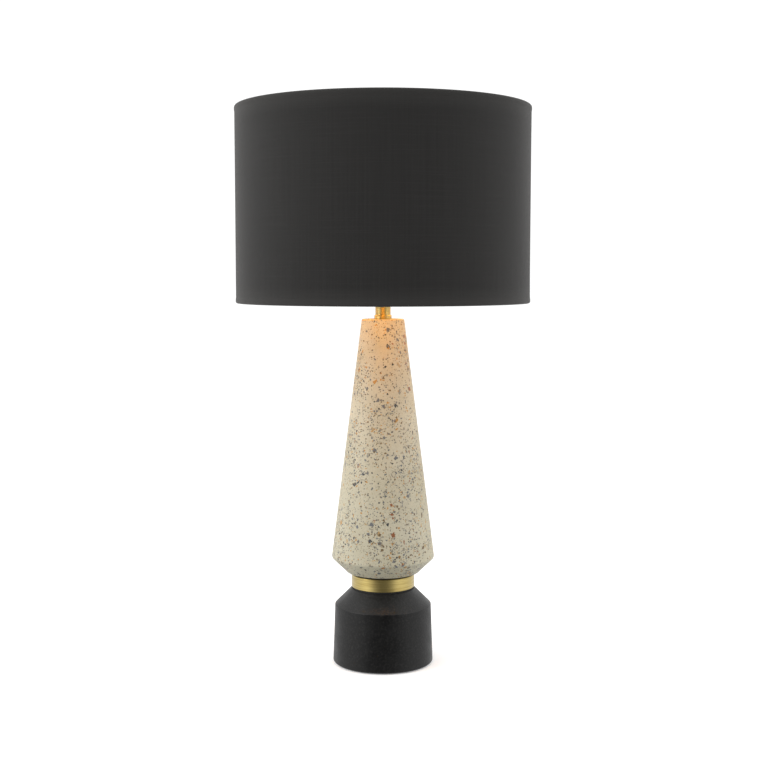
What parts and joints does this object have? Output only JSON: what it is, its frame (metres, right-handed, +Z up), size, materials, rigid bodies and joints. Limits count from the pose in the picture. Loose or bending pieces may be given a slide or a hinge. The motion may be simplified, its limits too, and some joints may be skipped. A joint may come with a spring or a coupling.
{
  "type": "table lamp with shade",
  "caption": "Table lamp with a tall terrazzo cone, brass collar and neck, black cast foot, black fabric drum shade and a screw-in bulb.",
  "frame": {"origin": "on the lamp's axis, on the surface that its pad stands on", "axes": "+Z up along the lamp's axis, +Y to the back where the cord inlet is"},
  "size_m": [0.3044, 0.3044, 0.58],
  "materials": {
    "pad": "black foam-rubber pad",
    "foot_black": "black satin powder coat over a casting",
    "zinc_steel": "zinc-plated steel",
    "black_rubber": "matt black rubber",
    "brass": "fine horizontal brushing, lacquered",
    "terrazzo": "ground and honed, angular chips of many colours",
    "grey_plastic": "moulded",
    "holder_black": "black moulded thermoplastic",
    "steatite": "unglazed steatite",
    "contact_brass": "plain stamped brass",
    "flex_black": "round two-core mains lead sheath",
    "core_brown": "brown core insulation",
    "core_blue": "blue core insulation",
    "shade_cloth": "black plain-weave cloth, matt",
    "shade_liner": "off-white styrene laminate",
    "wire_white": "white powder-coated wire",
    "bulb_nickel": "nickel-plated cap",
    "bulb_black_glass": "black vitrite",
    "bulb_clear": "clear",
    "filament": "yellow phosphor, lit",
    "support_wire": "drawn wire"
  },
  "bodies": {
    "root": {"base_pad": "pad", "base_block": "foot_black", "cord_grommet": "black_rubber", "bottom_washer": "zinc_steel", "lock_washer": "zinc_steel", "bottom_nut": "zinc_steel", "threaded_tube": "zinc_steel", "inner_flex": "flex_black", "live_core": "core_brown", "neutral_core": "core_blue", "lower_gasket": "black_rubber", "brass_collar": "brass", "upper_gasket": "black_rubber", "terrazzo_body": "terrazzo", "centring_plug": "grey_plastic", "neck_flange": "brass", "neck_tube": "brass", "holder_cap": "holder_black", "cap_grub_screw": "zinc_steel", "holder_skirt": "holder_black", "holder_insert": "steatite", "screw_shell": "contact_brass", "centre_contact": "contact_brass", "live_terminal_screw": "contact_brass", "neutral_terminal_screw": "contact_brass"},
    "ring_nut": {"shade_ring_nut": "holder_black"},
    "shade": {"shade_fabric": "shade_cloth", "shade_liner": "shade_liner", "shade_top_wire": "wire_white", "shade_bottom_wire": "wire_white", "shade_fitter": "wire_white", "shade_arm_rear": "wire_white", "shade_arm_left": "wire_white", "shade_arm_right": "wire_white"},
    "bulb_tip": {"bulb_contact": "support_wire"},
    "bulb": {"bulb_insulator": "bulb_black_glass", "bulb_cap": "bulb_nickel", "bulb_glass": "bulb_clear", "bulb_stem": "bulb_clear", "bulb_filament_1": "filament", "bulb_filament_2": "filament", "bulb_filament_3": "filament", "bulb_filament_4": "filament", "bulb_wires": "support_wire"}
  },
  "joints": [
    {"name": "ring_rise", "type": "slide", "parent": "root", "child": "ring_nut", "axis": [0, 0, 1], "range_m": [0, 0.0075]},
    {"name": "shade_turn", "type": "hinge", "parent": "root", "child": "shade", "pos_m": [0, 0, 0.4], "axis": [0, 0, 1], "continuous": true},
    {"name": "bulb_rise", "type": "slide", "parent": "root", "child": "bulb_tip", "axis": [0, 0, 1], "range_m": [0, 0.01452]},
    {"name": "bulb_turn", "type": "hinge", "parent": "bulb_tip", "child": "bulb", "pos_m": [0, 0, 0.41], "axis": [0, 0, 1], "range_deg": [0, 1442]}
  ],
  "couplings": [
    {"joint": "bulb_turn", "follows": "bulb_rise", "rad_per_m": 1731.4}
  ]
}
